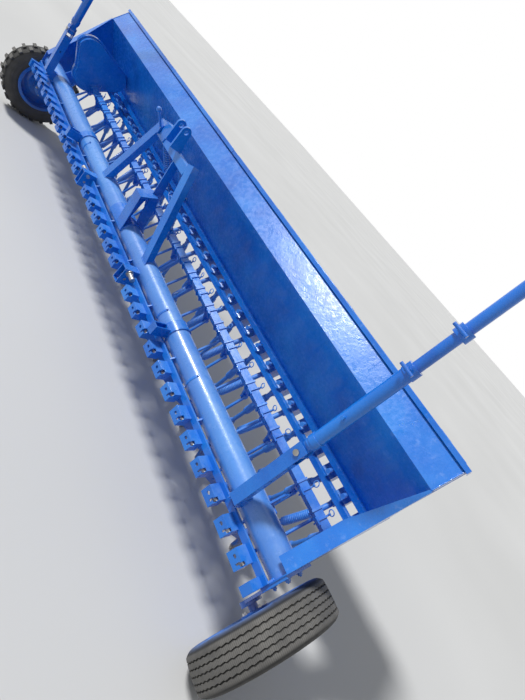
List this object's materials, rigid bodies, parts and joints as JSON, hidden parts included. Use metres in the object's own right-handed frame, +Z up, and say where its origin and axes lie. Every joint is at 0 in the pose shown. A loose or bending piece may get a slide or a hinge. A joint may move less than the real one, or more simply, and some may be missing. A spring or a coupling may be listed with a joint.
{
  "type": "mounted seed drill",
  "caption": "Three-point mounted grain seed drill: round front tube on two land wheels, A-frame headstock, rows of coulter arms, full-width seed hopper with hinged lids and folding markers.",
  "frame": {"origin": "on the ground under the middle of the machine", "axes": "+X along the main tube to the near end with the ribbed tyre, +Y to the rear of the machine, +Z up"},
  "size_m": [4.564, 1.0053, 2.953],
  "materials": {
    "blue_paint": "glossy sprayed enamel",
    "bare_steel": "worn bare steel",
    "seed_tube": "oversprayed steel tube",
    "tyre_rubber": "dusty rubber"
  },
  "bodies": {
    "frame": {"main_tube": "blue_paint", "end_frame_near": "blue_paint", "end_frame_far": "blue_paint", "wheel_leg_near": "blue_paint", "wheel_leg_far": "blue_paint", "hopper_body": "blue_paint", "floor_flange": "blue_paint", "lid_hinges": "blue_paint", "metering_housings": "blue_paint", "metering_shaft": "bare_steel", "outlet_rail": "blue_paint", "seed_tubes_front": "seed_tube", "seed_tubes_rear": "seed_tube", "coulters_front": "blue_paint", "coulters_rear": "blue_paint", "arm_brackets": "blue_paint", "arm_pins": "bare_steel", "coulter_bar": "blue_paint", "lift_handle": "blue_paint", "tube_lugs": "blue_paint", "pressure_shaft": "blue_paint", "shaft_levers": "blue_paint", "shaft_clamps": "blue_paint", "pressure_rods": "bare_steel", "headstock_legs": "blue_paint", "hitch_pins": "bare_steel", "top_link_ears": "blue_paint", "centre_tower": "blue_paint", "marker_posts": "blue_paint", "marker_pins": "bare_steel", "stand_sockets": "blue_paint", "gear_cover_inner": "blue_paint", "gear_cover_outer": "blue_paint", "drive_shaft": "bare_steel"},
    "wheel_near": {"wheel_rim_near": "blue_paint", "tyre_near": "tyre_rubber"},
    "wheel_far": {"wheel_rim_far": "blue_paint", "tyre_far": "tyre_rubber"},
    "lid_near": {"lid_near": "blue_paint"},
    "lid_far": {"lid_far": "blue_paint"},
    "marker_arm_near": {"marker_arm_near": "blue_paint"},
    "marker_arm_far": {"marker_arm_far": "blue_paint"},
    "marker_disc_near": {"marker_disc_near": "bare_steel"},
    "marker_disc_far": {"marker_disc_far": "bare_steel"}
  },
  "joints": [
    {"name": "wheel_near_spin", "type": "hinge", "parent": "frame", "child": "wheel_near", "pos_m": [2.2, -0.19686, 0.3], "axis": [1, 0, 0], "continuous": true},
    {"name": "wheel_far_spin", "type": "hinge", "parent": "frame", "child": "wheel_far", "pos_m": [-2.2, -0.19686, 0.3], "axis": [1, 0, 0], "continuous": true},
    {"name": "lid_near_hinge", "type": "hinge", "parent": "frame", "child": "lid_near", "pos_m": [1.03, 0.48886, 1.18295], "axis": [-1, 0, 0], "range_deg": [0, 100]},
    {"name": "lid_far_hinge", "type": "hinge", "parent": "frame", "child": "lid_far", "pos_m": [-1.03, 0.48886, 1.18295], "axis": [-1, 0, 0], "range_deg": [0, 100]},
    {"name": "marker_near_swing", "type": "hinge", "parent": "frame", "child": "marker_arm_near", "pos_m": [1.752, -0.35836, 0.903], "axis": [0, 1, 0], "range_deg": [0, 105]},
    {"name": "marker_far_swing", "type": "hinge", "parent": "frame", "child": "marker_arm_far", "pos_m": [-1.752, -0.35836, 0.903], "axis": [0, -1, 0], "range_deg": [0, 105]},
    {"name": "marker_disc_near_spin", "type": "hinge", "parent": "marker_arm_near", "child": "marker_disc_near", "pos_m": [2.002, -0.35836, 2.903], "axis": [0, 0, 1], "continuous": true},
    {"name": "marker_disc_far_spin", "type": "hinge", "parent": "marker_arm_far", "child": "marker_disc_far", "pos_m": [-2.002, -0.35836, 2.903], "axis": [0, 0, 1], "continuous": true}
  ]
}
